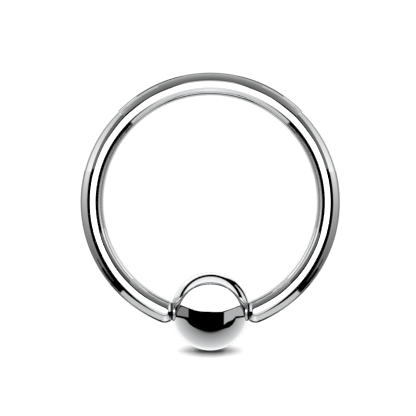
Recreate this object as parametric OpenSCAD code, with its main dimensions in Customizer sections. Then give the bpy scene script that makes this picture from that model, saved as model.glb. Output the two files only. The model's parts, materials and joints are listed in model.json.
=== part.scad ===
// Captive bead ring: an open hoop of round bar whose two domed ends
// press into the dimples of one ball and hold it captive.
//
// The ring lies on its side, as it does on a table. The ball is thicker
// than the wire, so the hoop leans: the ball touches the table at the
// front (-Y) and the wire touches it at the back (+Y). The origin is on
// the table, under the middle of the ring. +Z is up.

/* [Hoop] */
// Thickness of the round bar (16 gauge)
wire_d = 1.2; // [0.8:0.1:2]
// Clear width inside the hoop, wire to wire
inner_d = 11.3; // [8:0.1:16]

/* [Bead] */
// Diameter of the ball
bead_d = 4.1; // [3:0.1:6]

/* [Seat] */
// How far the tip of each wire end reaches into the ball
seat_depth = 0.25; // [0.1:0.05:0.4]
// Clearance between a wire end and its dimple, the same all over the seat
seat_gap = 0.03; // [0.02:0.01:0.1]

/* [Hidden] */

// Curves are drawn this finely
$fn = 128;

wire_r = wire_d / 2;
bead_r = bead_d / 2;

// The circle that the middle of the wire follows
hoop_r = inner_d / 2 + wire_r;

// From the middle of the ball to the middle of each domed wire end.
// Both ends lie on one line through the ball, the line it spins on.
seat_reach = bead_r - seat_depth + wire_r;

// Half of the gap in the hoop, seen from the middle of the hoop
gap_half_angle = asin(seat_reach / hoop_r);

// The halves of the hoop run past each other this far at the back, where they join
lap_angle = 5;

// From the middle of the hoop to the middle of the ball
bead_offset = hoop_r * cos(gap_half_angle);

// The lean that lets the ball and the far side of the wire both touch the table
rest_tilt = asin((bead_r - wire_r) / (hoop_r + bead_offset));

// Height of the middle of the hoop above the table
hoop_z = hoop_r * sin(rest_tilt) + wire_r;

// How far the ring reaches to the front and to the back of the middle of the hoop
front_reach = bead_offset * cos(rest_tilt) + bead_r;
back_reach = hoop_r * cos(rest_tilt) + wire_r;

// Puts the origin half way between the front of the ball and the back of the wire
hoop_y = (front_reach - back_reach) / 2;

// Sets a shape, drawn with the hoop's circle in the XY plane, down on the table
module at_rest() {
    translate([0, hoop_y, hoop_z])
        rotate([-rest_tilt, 0, 0])
            children();
}

// A half ball that rounds off the end of the wire, flat side down
module end_dome() {
    rotate_extrude()
        intersection() {
            circle(r = wire_r);
            square(wire_r);
        }
}

// The right-hand half of the hoop, from its domed end round to the back
module half_hoop() {
    rotate([0, 0, gap_half_angle - 90]) {
        rotate_extrude(angle = 180 - gap_half_angle + lap_angle)
            translate([hoop_r, 0])
                circle(r = wire_r);
        translate([hoop_r, 0, 0])
            rotate([90, 0, 0])
                end_dome();
    }
}

// The hollow that one wire end seats in
module dimple() {
    translate([seat_reach, 0, 0])
        sphere(r = wire_r + seat_gap);
}

module hoop() {
    color("silver")
        at_rest() {
            half_hoop();
            mirror([1, 0, 0]) half_hoop();
        }
}

module bead() {
    color("gainsboro")
        at_rest()
            translate([0, -bead_offset, 0])
                difference() {
                    sphere(r = bead_r);
                    dimple();
                    mirror([1, 0, 0]) dimple();
                }
}

hoop();
bead();
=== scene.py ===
import json
import math

import bmesh
import bpy
from mathutils import Matrix, Vector
from mathutils.geometry import intersect_line_sphere


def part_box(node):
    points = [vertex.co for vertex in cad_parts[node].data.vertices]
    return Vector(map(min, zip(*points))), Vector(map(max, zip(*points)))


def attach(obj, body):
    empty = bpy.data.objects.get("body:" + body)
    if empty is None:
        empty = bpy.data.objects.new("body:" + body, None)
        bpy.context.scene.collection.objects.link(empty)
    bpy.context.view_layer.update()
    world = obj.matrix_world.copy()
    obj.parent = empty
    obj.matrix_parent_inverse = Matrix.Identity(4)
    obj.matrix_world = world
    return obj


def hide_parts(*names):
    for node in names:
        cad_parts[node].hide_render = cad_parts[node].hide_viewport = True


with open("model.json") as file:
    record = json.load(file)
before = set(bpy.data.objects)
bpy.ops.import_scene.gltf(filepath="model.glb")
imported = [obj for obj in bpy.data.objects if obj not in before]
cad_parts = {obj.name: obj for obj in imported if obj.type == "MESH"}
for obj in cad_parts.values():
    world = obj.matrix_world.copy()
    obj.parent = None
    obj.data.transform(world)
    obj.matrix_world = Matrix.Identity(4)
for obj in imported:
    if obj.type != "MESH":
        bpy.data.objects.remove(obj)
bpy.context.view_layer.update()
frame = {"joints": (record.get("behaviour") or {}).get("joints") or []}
mm = 0.001    # metres. Every length below is in millimetres, and becomes metres when it is built


def linearColour(hexCode):
    # sRGB hex to the linear values that the shaders take
    channels = [int(hexCode[i:i + 2], 16) / 255 for i in (1, 3, 5)]
    return [c / 12.92 if c <= 0.04045 else ((c + 0.055) / 1.055) ** 2.4 for c in channels] + [1.0]


def addNode(tree, kind, settings=None, inputs=None, links=None):
    # settings are the node's own options, inputs are fixed values, links are sockets that feed it
    node = tree.nodes.new(kind)
    for key, value in (settings or {}).items():
        setattr(node, key, value)
    for key, value in (inputs or {}).items():
        node.inputs[key].default_value = value
    for key, socket in (links or {}).items():
        tree.links.new(socket, node.inputs[key])
    return node


def emptyMaterial(name):
    material = bpy.data.materials.new(name)
    material.use_nodes = True
    material.node_tree.nodes.clear()
    return material, material.node_tree


def placeIn(tree, plane):
    # where the shaded point lies in the plane's own axes, in millimetres
    place = addNode(tree, "ShaderNodeTexCoord")
    inverse = plane.inverted()
    mapping = addNode(tree, "ShaderNodeMapping", {"vector_type": "POINT"}, {
        "Location": inverse.to_translation(), "Rotation": inverse.to_euler(),
        "Scale": (1 / mm, 1 / mm, 1 / mm)}, {"Vector": place.outputs["Object"]})
    return mapping.outputs[0]


def makePiece(name, bm, material):
    # bm is in millimetres, the object in metres
    bmesh.ops.scale(bm, vec=(mm, mm, mm), verts=bm.verts)
    for face in bm.faces:
        face.smooth = True
    mesh = bpy.data.meshes.new(name)
    bm.to_mesh(mesh)
    bm.free()
    mesh.materials.append(material)
    piece = bpy.data.objects.new(name, mesh)
    bpy.context.scene.collection.objects.link(piece)
    return piece


# The frame gives the middle of the bead and the hoop's width, and these sizes the rest
ringSizes = {
    "wireDiameter": 1.2,   # 16 gauge
    "seatDepth": 0.25,     # how far a wire end reaches into the bead
    "seatGap": 0.03,       # clearance between a wire end and its dimple
}
beadMiddle = Vector(frame["joints"][0]["pos_m"]) / mm
beadRadius = beadMiddle.z    # the bead lies on the floor
wireRadius = ringSizes["wireDiameter"] / 2
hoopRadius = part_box("hoop")[1].x / mm - wireRadius
seatReach = beadRadius - ringSizes["seatDepth"] + wireRadius
gapHalfAngle = math.asin(seatReach / hoopRadius)
beadOffset = hoopRadius * math.cos(gapHalfAngle)
restTilt = math.asin((beadRadius - wireRadius) / (hoopRadius + beadOffset))
hoopMiddle = beadMiddle + beadOffset * Vector((0, math.cos(restTilt), -math.sin(restTilt)))

# The plane that the hoop lies in: it leans on the bead, so it isn't level
restLean = Matrix.Rotation(-restTilt, 4, "X")
hoopPlane = Matrix.Translation(hoopMiddle) @ restLean
beadPlane = Matrix.Translation(beadMiddle) @ restLean
print("sizes: hoop radius %.3f mm, bead offset %.3f mm, lean %.2f degrees"
      % (hoopRadius, beadOffset, math.degrees(restTilt)))


# Both steels are painted darker where they meet: painted shade round the seats, for the dark that
# they mirror and the shade where the parts touch. Each reach below runs from the full painted
# shade to none
seatPaintedShade = {
    "darkest": 0.08,             # share of the colour left at the seat
    "wireReach": (1.98, 2.16),   # mm from the middle of the bead: fully dark, clean
    "beadReach": (0.66, 0.80),   # mm from the middle of a wire end's dome: fully dark, clean
}


# Scales the colour down towards a seat: painted shade, full at the first reach and gone at the
# second
def withPaintedSeatShade(tree, hexCode, distance, reach):
    unshaded = linearColour(hexCode)
    share = addNode(tree, "ShaderNodeMapRange", {"interpolation_type": "SMOOTHSTEP"}, {
        "From Min": reach[0], "From Max": reach[1],
        "To Min": seatPaintedShade["darkest"], "To Max": 1.0}, {"Value": distance})
    colour = addNode(tree, "ShaderNodeVectorMath", {"operation": "SCALE"}, {0: unshaded[:3]},
                     {"Scale": share.outputs[0]})
    return colour.outputs[0]


# Handling haze: broad soft patches that dull the polish a touch
hazeBand = (0.35, 0.75)    # the noise values at which the haze starts and is full


def hazyRoughness(tree, place, finish):
    haze = addNode(tree, "ShaderNodeTexNoise", inputs={
        "Scale": finish["hazePerMm"], "Detail": finish["hazeDetail"]}, links={"Vector": place})
    roughness = addNode(tree, "ShaderNodeMapRange", inputs={
        "From Min": hazeBand[0], "From Max": hazeBand[1],
        "To Min": finish["roughness"], "To Max": finish["roughness"] + finish["haze"]},
        links={"Value": haze.outputs["Fac"]})
    return roughness.outputs[0]


# How near, in mm, counts as the same place when points are merged, cut or looked for
tolerance = {"merge": 1e-4, "cut": 1e-5, "search": 1e-3}


def spin(bm, geom, middle, axis, angle, steps, closed=False):
    bmesh.ops.spin(bm, geom=geom, cent=middle, axis=axis, dvec=(0, 0, 0), angle=angle,
                   space=Matrix.Identity(4), steps=steps, use_merge=closed,
                   use_normal_flip=False, use_duplicate=False)


# The hoop: round wire run round an open circle, with a half-round dome on each end
hoopWire = {
    "colour": "#CCCDCE",
    "roughness": 0.03,
    "haze": 0.03,            # roughness that a full patch adds
    "hazePerMm": 0.7,        # patches to the millimetre
    "hazeDetail": 2.0,       # layers of ever finer haze
    "lineSpacing": 0.09,     # mm. Real polishing lines are finer, this is the finest that shows
    "lineLength": 2.4,       # mm
    "lineDetail": 3.0,       # layers of ever finer lines
    "lineGrain": 0.55,       # how strong the finer lines are beside the broader ones
    "lineHeight": 0.01,      # mm
    "lineStrength": 0.010,   # share of that height that tells
    "roundWire": 96,         # facets round the wire
    "alongHoop": 360,        # steps along the hoop
    "overDome": 48,          # steps over a whole ball, of which a dome is half
}


# Its steel: 316L surgical steel, drawn, bent and mirror polished. To the eye it is a mirror with
# a neutral grey tint, and the polishing wheel leaves the faintest lines along the wire.
def mirrorPolishedSurgicalSteelWire():
    material, tree = emptyMaterial("mirror_polished_316L_steel_wire")
    place = placeIn(tree, hoopPlane)
    axes = addNode(tree, "ShaderNodeSeparateXYZ", links={"Vector": place})
    # Unrolled along the wire: across the section, and the length run along the hoop
    flat = addNode(tree, "ShaderNodeCombineXYZ",
                   links={"X": axes.outputs["X"], "Y": axes.outputs["Y"]})
    reach = addNode(tree, "ShaderNodeVectorMath", {"operation": "LENGTH"},
                    links={0: flat.outputs[0]})
    turn = addNode(tree, "ShaderNodeMath", {"operation": "ARCTAN2"},
                   links={0: axes.outputs["X"], 1: axes.outputs["Y"]})
    along = addNode(tree, "ShaderNodeMath", {"operation": "MULTIPLY"},
                    {1: hoopRadius * hoopWire["lineSpacing"] / hoopWire["lineLength"]},
                    {0: turn.outputs[0]})
    unrolled = addNode(tree, "ShaderNodeCombineXYZ", links={
        "X": reach.outputs["Value"], "Y": axes.outputs["Z"], "Z": along.outputs[0]})
    lines = addNode(tree, "ShaderNodeTexNoise", inputs={
        "Scale": 1 / hoopWire["lineSpacing"], "Detail": hoopWire["lineDetail"],
        "Roughness": hoopWire["lineGrain"]}, links={"Vector": unrolled.outputs[0]})
    relief = addNode(tree, "ShaderNodeBump", inputs={
        "Strength": hoopWire["lineStrength"], "Distance": hoopWire["lineHeight"] * mm},
        links={"Height": lines.outputs["Fac"]})
    # The wire's colour is painted darker near the bead: painted shade at the seats
    fromBead = addNode(tree, "ShaderNodeVectorMath", {"operation": "DISTANCE"},
                       {1: (0, -beadOffset, 0)}, {0: place})
    steel = addNode(tree, "ShaderNodeBsdfPrincipled", inputs={"Metallic": 1.0}, links={
        "Base Color": withPaintedSeatShade(tree, hoopWire["colour"], fromBead.outputs["Value"],
                                seatPaintedShade["wireReach"]),
        "Roughness": hazyRoughness(tree, place, hoopWire),
        "Normal": relief.outputs[0]})
    addNode(tree, "ShaderNodeOutputMaterial", links={"Surface": steel.outputs[0]})
    return material


def formHoop():
    bm = bmesh.new()
    atRim = Matrix.Translation((hoopRadius, 0, 0)) @ Matrix.Rotation(math.radians(90), 4, "X")
    bmesh.ops.create_circle(bm, cap_ends=False, segments=hoopWire["roundWire"], radius=wireRadius,
                            matrix=Matrix.Rotation(gapHalfAngle - math.pi / 2, 4, "Z") @ atRim)
    spin(bm, bm.verts[:] + bm.edges[:], (0, 0, 0), (0, 0, 1), 2 * math.pi - 2 * gapHalfAngle,
         hoopWire["alongHoop"])
    for side in (1, -1):
        angle = -math.pi / 2 + side * gapHalfAngle
        atEnd = Matrix.Rotation(angle, 4, "Z") @ atRim
        dome = bmesh.ops.create_uvsphere(bm, u_segments=hoopWire["roundWire"],
                                         v_segments=hoopWire["overDome"],
                                         radius=wireRadius, matrix=atEnd)["verts"]
        faces = list({face for vert in dome for face in vert.link_faces})
        edges = list({edge for vert in dome for edge in vert.link_edges})
        intoWire = Vector((-math.sin(angle), math.cos(angle), 0)) * side
        bmesh.ops.bisect_plane(bm, geom=dome + edges + faces, dist=tolerance["cut"],
                               plane_co=atEnd.to_translation(), plane_no=intoWire,
                               clear_outer=True)
    bmesh.ops.remove_doubles(bm, verts=bm.verts, dist=tolerance["merge"])
    bmesh.ops.recalc_face_normals(bm, faces=bm.faces)
    bmesh.ops.transform(bm, matrix=hoopPlane, verts=bm.verts)
    return bm


hoopPiece = makePiece("hoop_wire", formHoop(), mirrorPolishedSurgicalSteelWire())
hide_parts("hoop")
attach(hoopPiece, "hoop_body")
print("hoop: %d faces" % len(hoopPiece.data.polygons))


# The bead: one outline, run round the line that the two wire ends lie on
beadBall = {
    "colour": "#CCCDCE",
    "roughness": 0.02,
    "haze": 0.02,            # roughness that a full patch adds
    "hazePerMm": 1.1,        # patches to the millimetre
    "hazeDetail": 3.0,       # layers of ever finer haze
    "round": 128,            # steps round the spin line
    "ballSteps": 96,         # from one dimple's rim to the other's
    "dimpleSteps": 24,       # from a dimple's middle to its rim
    "rimRound": 0.015,       # mm. Tumbling takes the edge off the rim
    "rimSteps": 3,           # steps over the rounded rim
}


# Its steel: the same alloy, ground and tumbled to a mirror. To the eye it is a mirror with the
# same grey tint and no lines, only the odd soft patch.
def tumblePolishedSurgicalSteelBead():
    material, tree = emptyMaterial("tumble_polished_316L_steel_bead")
    place = placeIn(tree, Matrix.Translation(beadMiddle))
    # Both dimples are alike, so one distance does for the two
    folded = addNode(tree, "ShaderNodeVectorMath", {"operation": "ABSOLUTE"}, links={0: place})
    fromDome = addNode(tree, "ShaderNodeVectorMath", {"operation": "DISTANCE"},
                       {1: (seatReach, 0, 0)}, {0: folded.outputs[0]})
    # The bead's colour is painted darker round each dimple: painted shade at the seats
    steel = addNode(tree, "ShaderNodeBsdfPrincipled", inputs={"Metallic": 1.0}, links={
        "Base Color": withPaintedSeatShade(tree, beadBall["colour"], fromDome.outputs["Value"],
                                seatPaintedShade["beadReach"]),
        "Roughness": hazyRoughness(tree, place, beadBall)})
    addNode(tree, "ShaderNodeOutputMaterial", links={"Surface": steel.outputs[0]})
    return material


def formBead():
    bm = bmesh.new()
    dimpleRadius = wireRadius + ringSizes["seatGap"]
    rimX = (seatReach ** 2 + beadRadius ** 2 - dimpleRadius ** 2) / (2 * seatReach)
    rimAngle = math.acos(rimX / beadRadius)
    dimpleAngle = math.acos((seatReach - rimX) / dimpleRadius)

    def addArc(middle, angle, steps):
        # runs the outline on from its last point
        spin(bm, bm.verts[-1:], middle, (0, 0, 1), angle, steps)
        bm.verts.ensure_lookup_table()

    bm.verts.new((seatReach - dimpleRadius, 0, 0))
    bm.verts.ensure_lookup_table()
    addArc((seatReach, 0, 0), -dimpleAngle, beadBall["dimpleSteps"])
    addArc((0, 0, 0), math.pi - 2 * rimAngle, beadBall["ballSteps"])
    addArc((-seatReach, 0, 0), -dimpleAngle, beadBall["dimpleSteps"])
    spin(bm, bm.verts[:] + bm.edges[:], (0, 0, 0), (1, 0, 0), 2 * math.pi, beadBall["round"],
         closed=True)
    bmesh.ops.remove_doubles(bm, verts=bm.verts, dist=tolerance["merge"])
    rims = [edge for edge in bm.edges
            if all(abs(abs(vert.co.x) - rimX) < tolerance["search"] for vert in edge.verts)]
    bmesh.ops.bevel(bm, geom=rims, offset=beadBall["rimRound"], offset_type="OFFSET",
                    affect="EDGES", segments=beadBall["rimSteps"], profile=0.5, material=-1)
    bmesh.ops.recalc_face_normals(bm, faces=bm.faces)
    bmesh.ops.transform(bm, matrix=beadPlane, verts=bm.verts)
    return bm


beadPiece = makePiece("bead_ball", formBead(), tumblePolishedSurgicalSteelBead())
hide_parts("bead")
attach(beadPiece, "bead_body")
print("bead: %d faces" % len(beadPiece.data.polygons))


# The floor and the sweep behind it are white paper. The steel doesn't mirror them: it mirrors
# the lamps and cards below, as in a shop picture that is put together from several exposures.
floorLook = {
    "reach": 700.0,            # mm
    "floorFacets": 96,
    "sweepFacets": (64, 32),   # round it, over it
    "paper": "#F4F4F4",
    "sweepGlow": 1.0,
}


def paperMaterial(name, tone):
    material, tree = emptyMaterial(name)
    paper = addNode(tree, "ShaderNodeBsdfDiffuse", inputs={"Color": linearColour(tone)})
    addNode(tree, "ShaderNodeOutputMaterial", links={"Surface": paper.outputs[0]})
    return material


def glowMaterial(name, strength):
    material, tree = emptyMaterial(name)
    glow = addNode(tree, "ShaderNodeEmission", inputs={"Strength": strength})
    addNode(tree, "ShaderNodeOutputMaterial", links={"Surface": glow.outputs[0]})
    return material


def stagePiece(name, bm, material, seenBy):
    # seenBy is the one kind of ray that meets the piece
    piece = makePiece(name, bm, material)
    for ray in ("camera", "glossy", "diffuse", "transmission", "volume_scatter", "shadow"):
        setattr(piece, "visible_" + ray, ray == seenBy)
    return piece


bm = bmesh.new()
bmesh.ops.create_circle(bm, cap_ends=True, segments=floorLook["floorFacets"],
                        radius=floorLook["reach"])
floorPaper = stagePiece("floor_paper", bm, paperMaterial("white_paper", floorLook["paper"]),
                        "camera")

bm = bmesh.new()
bmesh.ops.create_uvsphere(bm, u_segments=floorLook["sweepFacets"][0],
                          v_segments=floorLook["sweepFacets"][1], radius=floorLook["reach"])
stagePiece("backdrop_sweep", bm, glowMaterial("white_sweep", floorLook["sweepGlow"]), "camera")
print("floor and backdrop laid")


# Light. Each lamp lights only what it is listed for, as a photographer lights the wire, the bead
# and the paper in turn.
def lightGroup(name, *members):
    group = bpy.data.collections.new(name)
    for member in members:
        group.objects.link(member)
    return group


wireOnly = lightGroup("lit_wire", hoopPiece)
beadOnly = lightGroup("lit_bead", beadPiece)
floorOnly = lightGroup("lit_floor", floorPaper)


def addGlow(lamp, glow, area):
    # A lamp of this energy shows as bright as the strength that its nodes give it. glow holds
    # the corners: both ends of the foot, then both ends of the top. It fades evenly to the eye
    # between them, so the fade is worked out in logarithms.
    lamp.energy = math.pi * area
    lamp.use_nodes = True
    tree = lamp.node_tree
    tree.nodes.clear()
    where = addNode(tree, "ShaderNodeNewGeometry")
    axes = addNode(tree, "ShaderNodeSeparateXYZ", links={"Vector": where.outputs["Parametric"]})
    corners = [math.log(value) for value in glow]
    foot = addNode(tree, "ShaderNodeMapRange", inputs={"To Min": corners[0], "To Max": corners[1]},
                   links={"Value": axes.outputs["X"]})
    top = addNode(tree, "ShaderNodeMapRange", inputs={"To Min": corners[2], "To Max": corners[3]},
                  links={"Value": axes.outputs["X"]})
    shade = addNode(tree, "ShaderNodeMapRange", links={
        "Value": axes.outputs["Y"], "To Min": foot.outputs[0], "To Max": top.outputs[0]})
    strength = addNode(tree, "ShaderNodeMath", {"operation": "EXPONENT"},
                       links={0: shade.outputs[0]})
    emission = addNode(tree, "ShaderNodeEmission", links={"Strength": strength.outputs[0]})
    addNode(tree, "ShaderNodeOutputLight", links={"Surface": emission.outputs[0]})


def hangLamp(name, lamp, placing, receivers):
    holder = bpy.data.objects.new(name, lamp)
    placing = placing.copy()
    placing.translation *= mm
    holder.matrix_world = placing
    holder.visible_camera = False
    holder.light_linking.receiver_collection = receivers
    bpy.context.scene.collection.objects.link(holder)
    return holder


def hangPanel(name, middle, axes, width, height, glow):
    lamp = bpy.data.lights.new(name, "AREA")
    lamp.shape = "RECTANGLE"
    lamp.size = width * mm
    lamp.size_y = height * mm
    addGlow(lamp, glow, width * height * mm * mm)
    facing = Matrix(axes).transposed().to_4x4()
    hangLamp(name, lamp, hoopPlane @ Matrix.Translation(middle) @ facing, wireOnly)


# The tent round the wire. azimuth is 0 to the right of the picture and 90 to its top. away is a
# wall's distance, across and up are its edges, all in mm from the middle of the hoop. glow is
# given at the foot, at both ends of across, and then at the top. A twin is the same wall again on
# the other side of the picture. Where two overlap their glows add, and one hangs a little nearer:
# in one plane one of them would be lost.
tentWalls = {
    "side_front_high": {"azimuth": 0, "away": 11.8, "across": (-7.2, 3.0), "up": (3.0, 5.6),
                        "glow": (0.27, 1.15, 0.27, 1.2), "twin": True},
    "side_front_high_end": {"azimuth": 0, "away": 11.8, "across": (-9.6, -7.2), "up": (3.0, 5.6),
                            "glow": (0.05, 0.27, 0.05, 0.27), "twin": True},
    "side_front_upper": {"azimuth": 0, "away": 11.8, "across": (-7.2, 3.0), "up": (1.9, 3.0),
                         "glow": (0.19, 1.3, 0.19, 1.35), "twin": True},
    "side_front_middle": {"azimuth": 0, "away": 11.8, "across": (-5.9, 3.0), "up": (0.5, 1.9),
                          "glow": (0.24, 1.25, 0.24, 1.3), "twin": True},
    "side_front_lower": {"azimuth": 0, "away": 11.8, "across": (-7.2, 3.0), "up": (-1.5, 0.5),
                         "glow": (0.19, 1.2, 0.19, 1.25), "twin": True},
    "side_front_low": {"azimuth": 0, "away": 11.8, "across": (-7.2, 3.0), "up": (-3.6, -1.5),
                       "glow": (0.29, 0.62, 0.27, 0.62), "twin": True},
    "side_front_low_end": {"azimuth": 0, "away": 11.8, "across": (-9.6, -7.2),
                           "up": (-3.6, -1.5), "glow": (0.08, 0.29, 0.08, 0.27), "twin": True},
    "side_front_foot": {"azimuth": 0, "away": 11.8, "across": (-9.6, 3.0), "up": (-12.0, -4.5),
                        "glow": (0.3, 0.5, 0.3, 0.5), "twin": True},
    "side_back_high": {"azimuth": 0, "away": 11.8, "across": (3.0, 11.75), "up": (-1.4, 6.3),
                       "glow": (1.35, 1.0, 1.6, 0.8), "twin": True},
    "side_back_low": {"azimuth": 0, "away": 11.8, "across": (3.0, 11.75), "up": (-4.4, -1.4),
                      "glow": (0.5, 0.5, 0.5, 0.5), "twin": True},
    "side_back_foot": {"azimuth": 0, "away": 11.8, "across": (3.0, 11.75), "up": (-12.0, -5.2),
                       "glow": (1.2, 1.9, 1.2, 1.9), "twin": True},
    "side_back_top": {"azimuth": 0, "away": 11.8, "across": (3.4, 11.75), "up": (6.3, 20.0),
                      "glow": (0.28, 0.22, 0.2, 0.16), "twin": True},
    "front_middle": {"azimuth": -90, "away": 37.0, "across": (0.0, 12.0), "up": (-14.5, 33.0),
                     "glow": (1.55, 1.0, 1.35, 0.95), "twin": True},
    "front": {"azimuth": -90, "away": 37.0, "across": (12.0, 36.6), "up": (-10.5, 33.0),
              "glow": (1.0, 0.85, 0.95, 0.9), "twin": True},
    "front_foot": {"azimuth": -90, "away": 37.0, "across": (16.0, 36.6), "up": (-14.5, -10.5),
                   "glow": (0.9, 0.7, 0.9, 0.7), "twin": True},
    "back_foot": {"azimuth": 90, "away": 18.0, "across": (12.5, 18.0), "up": (-12.5, -8.3),
                  "glow": (1.7, 1.7, 1.7, 1.7), "twin": True},
    "back_patch": {"azimuth": 90, "away": 17.8, "across": (8.0, 15.5), "up": (-4.5, 2.0),
                   "glow": (0.3, 0.3, 0.3, 0.3), "twin": True},
    "back_corner": {"azimuth": 90, "away": 17.7, "across": (11.5, 18.0), "up": (-4.5, 11.5),
                    "glow": (0.04, 0.5, 0.04, 0.45), "twin": True},
    "back_low": {"azimuth": 90, "away": 18.0, "across": (-18.0, 18.0), "up": (-8.3, 4.0),
                 "glow": (0.9, 0.9, 0.38, 0.38), "twin": False},
    "back_high": {"azimuth": 90, "away": 18.0, "across": (0.0, 18.0), "up": (4.0, 28.0),
                  "glow": (0.36, 0.36, 0.06, 0.5), "twin": True},
}
# Level sheets over and under the wire. x runs to the right and y up the picture, and glow is given
# at the front edge and at the back edge.
tentSheets = {
    "roof": {"height": 22.0, "x": (-10.9, 10.9), "y": (-9.0, 2.5),
             "glow": (2.2, 2.2), "twin": False},
    "roof_front": {"height": 22.0, "x": (-10.9, 10.9), "y": (-23.0, -9.0),
                   "glow": (0.9, 1.5), "twin": False},
    "roof_high": {"height": 34.0, "x": (-14.5, 14.5), "y": (-4.0, 8.4),
                  "glow": (2.2, 2.2), "twin": False},
    "roof_high_middle": {"height": 34.0, "x": (-11.6, 11.6), "y": (8.4, 11.6),
                         "glow": (2.2, 2.2), "twin": False},
    "roof_high_back": {"height": 34.0, "x": (-9.0, 9.0), "y": (11.6, 15.5),
                       "glow": (2.2, 2.2), "twin": False},
    "roof_high_end": {"height": 34.0, "x": (-5.5, 5.5), "y": (15.5, 28.0),
                      "glow": (2.2, 0.4), "twin": False},
    "base": {"height": -12.5, "x": (-11.8, 11.8), "y": (-12.0, 12.5),
             "glow": (0.72, 0.72), "twin": False},
    "base_back": {"height": -12.5, "x": (-3.6, 3.6), "y": (12.5, 18.0),
                  "glow": (0.72, 0.72), "twin": False},
    "base_edge": {"height": -12.5, "x": (7.5, 11.8), "y": (-16.0, -12.0),
                  "glow": (0.72, 0.72), "twin": True},
    "base_patch": {"height": -12.3, "x": (5.0, 11.0), "y": (3.0, 10.0),
                   "glow": (0.6, 0.6), "twin": True},
    "base_front": {"height": -12.5, "x": (17.0, 30.0), "y": (-34.0, -22.0),
                   "glow": (0.75, 0.75), "twin": True},
}


def centre(edges):
    return (edges[0] + edges[1]) / 2


def span(edges):
    return edges[1] - edges[0]


def mirrored(edges):
    return (-edges[1], -edges[0])


def hangWall(name, azimuth, away, across, up, glow):
    turn = math.radians(azimuth)
    outward = Vector((math.cos(turn), math.sin(turn), 0))
    sideways = Vector((-math.sin(turn), math.cos(turn), 0))
    middle = outward * away + sideways * centre(across) + Vector((0, 0, centre(up)))
    hangPanel(name, middle, (sideways, (0, 0, 1), outward), span(across), span(up), glow)


def hangSheet(name, height, x, y, glow):
    # A lamp shines down its own z axis, so the sheets under the wire are turned over
    side = 1 if height > 0 else -1
    front, back = glow
    hangPanel(name, (centre(x), centre(y), height), ((side, 0, 0), (0, 1, 0), (0, 0, side)),
              span(x), span(y), (front, front, back, back))


for name, wall in tentWalls.items():
    away, up = wall["away"], wall["up"]
    hangWall(name, wall["azimuth"], away, wall["across"], up, wall["glow"])
    if wall["twin"]:
        footStart, footEnd, topStart, topEnd = wall["glow"]
        hangWall(name + "_twin", 180 - wall["azimuth"], away, mirrored(wall["across"]), up,
                 (footEnd, footStart, topEnd, topStart))

for name, sheet in tentSheets.items():
    hangSheet(name, sheet["height"], sheet["x"], sheet["y"], sheet["glow"])
    if sheet["twin"]:
        hangSheet(name + "_twin", sheet["height"], mirrored(sheet["x"]), sheet["y"],
                  sheet["glow"])
print("lamps for the wire hung")


# The camera looks square at the plane of the hoop, so it stands a little behind straight above
cameraSetup = {
    "lens": 200.0,                  # mm
    "sensor": 36.0,                 # mm
    "height": 121.9,                # mm above the plane of the hoop
    "shiftedBy": (-0.116, -0.306),  # mm, where the middle of the picture falls in that plane
    "sees": (1, 2000),              # mm, nearest and farthest
}
cameraSpot = hoopPlane @ Vector((*cameraSetup["shiftedBy"], cameraSetup["height"]))
toCamera = cameraSpot - beadMiddle
beadView = (Matrix.Translation(beadMiddle)
            @ Matrix.Rotation(-math.atan2(toCamera.y, toCamera.z), 4, "X"))


# Cards round the bead. Each is cut so that its reflection, as the camera sees it in the bead, has
# the outline given here: x to the right and y up the picture, in mm from the middle of the bead.
# glow is one brightness, or a fade: pairs of the degrees away from the camera and the brightness.
cardSetup = {
    "away": 300.0,       # mm from the bead
    "fineness": 10,      # cuts along each edge, so that a card follows its curve
    "bowStep": 7,        # degrees between the points of a bow
}


def bow(x, y, radius, start, end):
    # points along a part of a circle, angles in degrees
    count = max(2, round(abs(end - start) / cardSetup["bowStep"]))
    angles = [math.radians(start + (end - start) * i / count) for i in range(count + 1)]
    return [(x + radius * math.cos(angle), y + radius * math.sin(angle)) for angle in angles]


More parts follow.
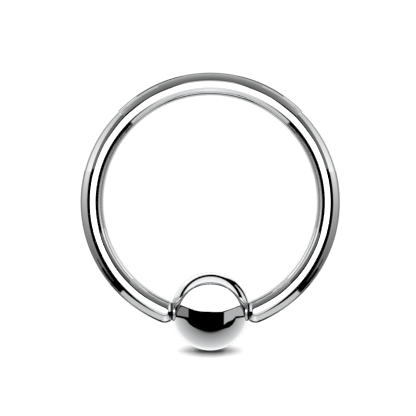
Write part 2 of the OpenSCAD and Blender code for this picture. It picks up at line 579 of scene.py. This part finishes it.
lowFade = ((60, 0.03), (64, 0.07), (71, 0.38), (86, 0.58), (104, 0.80), (126, 1.03), (150, 1.35))
archFade = ((100, 1.55), (122, 1.25))
beadCards = {
    "overhead": {"glow": 2.2, "outline": (
        (-1.77, 0.45), (-1.52, 0.34), (-1.07, 0.17), (-0.75, 0.06), (-0.40, 0.01), (0, 0),
        (0.29, -0.01), (0.62, 0), (1.04, 0.13), (1.57, 0.33), (1.82, 0.48), (1.64, 0.72),
        *bow(0.01, -0.44, 1.86, 41, 139), (-1.61, 0.72))},
    "arch": {"glow": archFade, "outline": (
        *bow(0.02, -0.27, 1.745, 37, 143), (-1.53, 0.65),
        *bow(0.02, 0.26, 1.578, 162, 18), (1.52, 0.65))},
    "rim_top": {"glow": 1.4, "outline": (
        (1.03, 1.72), *bow(0.03, 0.21, 1.745, 68, 138), *bow(0, 0, 2.045, 140, 51))},
    "rim_left": {"glow": 1.2, "outline": (
        *bow(0.03, 0.21, 1.745, 138, 160), *bow(0, 0, 2.045, 160, 140))},
    "rim_far_left": {"glow": 0.75, "outline": (
        *bow(0.03, 0.21, 1.745, 160, 178), *bow(0, 0, 2.045, 174, 160))},
    "rim_right": {"glow": 1.15, "outline": (
        *bow(-0.02, 0.18, 1.803, 14, 43), *bow(0.01, -0.12, 2.019, 48, 17))},
    "side_left": {"glow": 0.35, "outline": (
        (-1.51, 0.26), (-1.15, 0.13), (-1.15, -0.30), (-1.41, -0.25), (-1.75, -0.20),
        (-1.75, -0.07), (-1.61, 0.18))},
    "side_right": {"glow": 0.72, "outline": (
        (0.74, -0.04), (1.04, 0.08), (1.57, 0.27), (1.78, -0.02), (1.76, -0.22), (1.34, -0.25),
        (1.17, -0.44), (0.92, -0.54), (0.73, -0.68))},
    "low": {"glow": lowFade, "outline": (
        (-1.99, -0.27), (-1.78, -0.30), (-1.39, -0.39), (-1.27, -0.46), (-1.10, -0.67),
        (-0.91, -0.81), (-0.72, -0.91), (-0.34, -1.03), (0, -1.09), (0.39, -1.03),
        (0.77, -0.91), (1.01, -0.84), (1.19, -0.69), (1.32, -0.49), (1.36, -0.37),
        (1.76, -0.31), (2.0, -0.30), *bow(0, 0, 2.045, -9, -171))},
}


def mirroredSpot(seen):
    # where the camera's line of sight to this spot of the bead goes on to after the mirror
    aim = beadView @ seen
    hits = intersect_line_sphere(cameraSpot, aim, beadMiddle, beadRadius, False)
    hit = min(hits, key=lambda point: (point - cameraSpot).length)
    return hit + cardSetup["away"] * (hit - cameraSpot).reflect(hit - beadMiddle).normalized()


def cutCard(outline):
    bm = bmesh.new()
    bm.faces.new([bm.verts.new((x, y, 0)) for x, y in outline])
    bmesh.ops.triangulate(bm, faces=bm.faces)
    bmesh.ops.subdivide_edges(bm, edges=bm.edges, cuts=cardSetup["fineness"], use_grid_fill=True)
    for vert in bm.verts:
        vert.co = mirroredSpot(vert.co)
    return bm


def fadeMaterial(name, fade):
    material, tree = emptyMaterial(name)
    toward = addNode(tree, "ShaderNodeVectorMath", {"operation": "NORMALIZE"},
                     links={0: placeIn(tree, beadView)})
    axes = addNode(tree, "ShaderNodeSeparateXYZ", links={"Vector": toward.outputs[0]})
    angle = addNode(tree, "ShaderNodeMath", {"operation": "ARCCOSINE"},
                    links={0: axes.outputs["Z"]})
    # Each step of the fade adds its rise to the brightness before it
    total = addNode(tree, "ShaderNodeMath", {"operation": "ADD"}, {0: fade[0][1], 1: 0})
    for (fromAngle, fromGlow), (toAngle, toGlow) in zip(fade, fade[1:]):
        step = addNode(tree, "ShaderNodeMapRange", inputs={
            "From Min": math.radians(fromAngle), "From Max": math.radians(toAngle),
            "To Min": 0, "To Max": toGlow - fromGlow}, links={"Value": angle.outputs[0]})
        total = addNode(tree, "ShaderNodeMath", {"operation": "ADD"},
                        links={0: total.outputs[0], 1: step.outputs[0]})
    emission = addNode(tree, "ShaderNodeEmission", links={"Strength": total.outputs[0]})
    addNode(tree, "ShaderNodeOutputMaterial", links={"Surface": emission.outputs[0]})
    return material


for name, card in beadCards.items():
    if isinstance(card["glow"], tuple):
        material = fadeMaterial(name + "_card", card["glow"])
    else:
        material = glowMaterial(name + "_card", card["glow"])
    cut = stagePiece("card_" + name, cutCard(card["outline"]), material, "glossy")
    cut.light_linking.receiver_collection = beadOnly
print("cards for the bead cut")


# Light on the floor. The key is a row of lamps straight above, and a lamp beside the camera lays
# the ring's own soft shadow where the ring hides it from the camera. The ovals of a flag under
# each make the flat soft shadow at the foot of the bead, and the fill keeps that from going black.
floorLight = {
    # Angles are degrees from straight down: lean is towards the camera's side, and fan has one
    # lamp for each angle to the side. softness is the degrees across a lamp, as the floor sees it.
    # casters are the pieces whose own shadow falls beside the flag's. An oval's middle is this far
    # behind the foot, all in mm, and a higher one has a softer edge.
    "floor_key": {"lean": 0, "fan": (-0.8, -0.4, 0, 0.4, 0.8), "softness": 0.83,
                  "strength": 0.575, "casters": (), "ovals": (
                      {"behind": -0.013, "halfWide": 1.56, "halfDeep": 0.286, "height": 30.0},
                      {"behind": 2.1, "halfWide": 1.73, "halfDeep": 1.96, "height": 21.0})},
    "floor_axis": {"lean": 7, "fan": (0,), "softness": 12.6,
                   "strength": 0.91, "casters": (beadPiece, hoopPiece), "ovals": (
                       {"behind": -0.06, "halfWide": 0.82, "halfDeep": 0.228, "height": 2.05},)},
}
floorFill = {"softness": 120, "strength": 0.11}
beadFoot = 2.46    # mm from the middle of the bead to the spot of floor that its near rim hides
flagFacets = 64


def hangSun(name, turn, strength, softness):
    lamp = bpy.data.lights.new(name, "SUN")
    lamp.energy = strength
    lamp.angle = math.radians(softness)
    return hangLamp(name, lamp, turn, floorOnly)


def cutFlag(ovals, sunLean):
    bm = bmesh.new()
    for oval in ovals:
        # moved towards its lamp, so that its shadow falls in the same place however the lamp leans
        y = beadMiddle.y - beadFoot + oval["behind"] + oval["height"] * math.tan(sunLean)
        shape = (Matrix.Translation((0, y, oval["height"]))
                 @ Matrix.Diagonal((oval["halfWide"], oval["halfDeep"], 1, 1)))
        bmesh.ops.create_circle(bm, cap_ends=True, segments=flagFacets, radius=1, matrix=shape)
    return bm


for name, sun in floorLight.items():
    sunLean = math.radians(sun["lean"])
    flag = stagePiece(name + "_flag", cutFlag(sun["ovals"], sunLean),
                      paperMaterial("black_card", "#000000"), "shadow")
    casting = lightGroup(name + "_casts", flag, *sun["casters"])
    for number, sideways in enumerate(sun["fan"], 1):
        turn = (Matrix.Rotation(-sunLean, 4, "X")
                @ Matrix.Rotation(math.radians(sideways), 4, "Y"))
        holder = hangSun("%s_%d" % (name, number), turn, sun["strength"], sun["softness"])
        holder.light_linking.blocker_collection = casting
fill = hangSun("floor_fill", Matrix.Identity(4), floorFill["strength"], floorFill["softness"])
fill.data.use_shadow = False
for piece in (hoopPiece, beadPiece):
    piece.visible_diffuse = False      # the steel throws no stray glints on the paper

world = bpy.data.worlds.new("dark_studio")
world.use_nodes = True
world.node_tree.nodes["Background"].inputs["Color"].default_value = linearColour("#000000")
bpy.context.scene.world = world
bpy.context.scene.view_settings.view_transform = "Standard"
print("floor lit")


camera = bpy.data.cameras.new("camera")
camera.lens = cameraSetup["lens"]
camera.sensor_width = cameraSetup["sensor"]
camera.clip_start = cameraSetup["sees"][0] * mm
camera.clip_end = cameraSetup["sees"][1] * mm
cameraHolder = bpy.data.objects.new("camera", camera)
cameraHolder.matrix_world = Matrix.Translation(cameraSpot * mm) @ restLean
bpy.context.scene.collection.objects.link(cameraHolder)
bpy.context.scene.camera = cameraHolder
print("camera set")

bpy.context.view_layer.update()
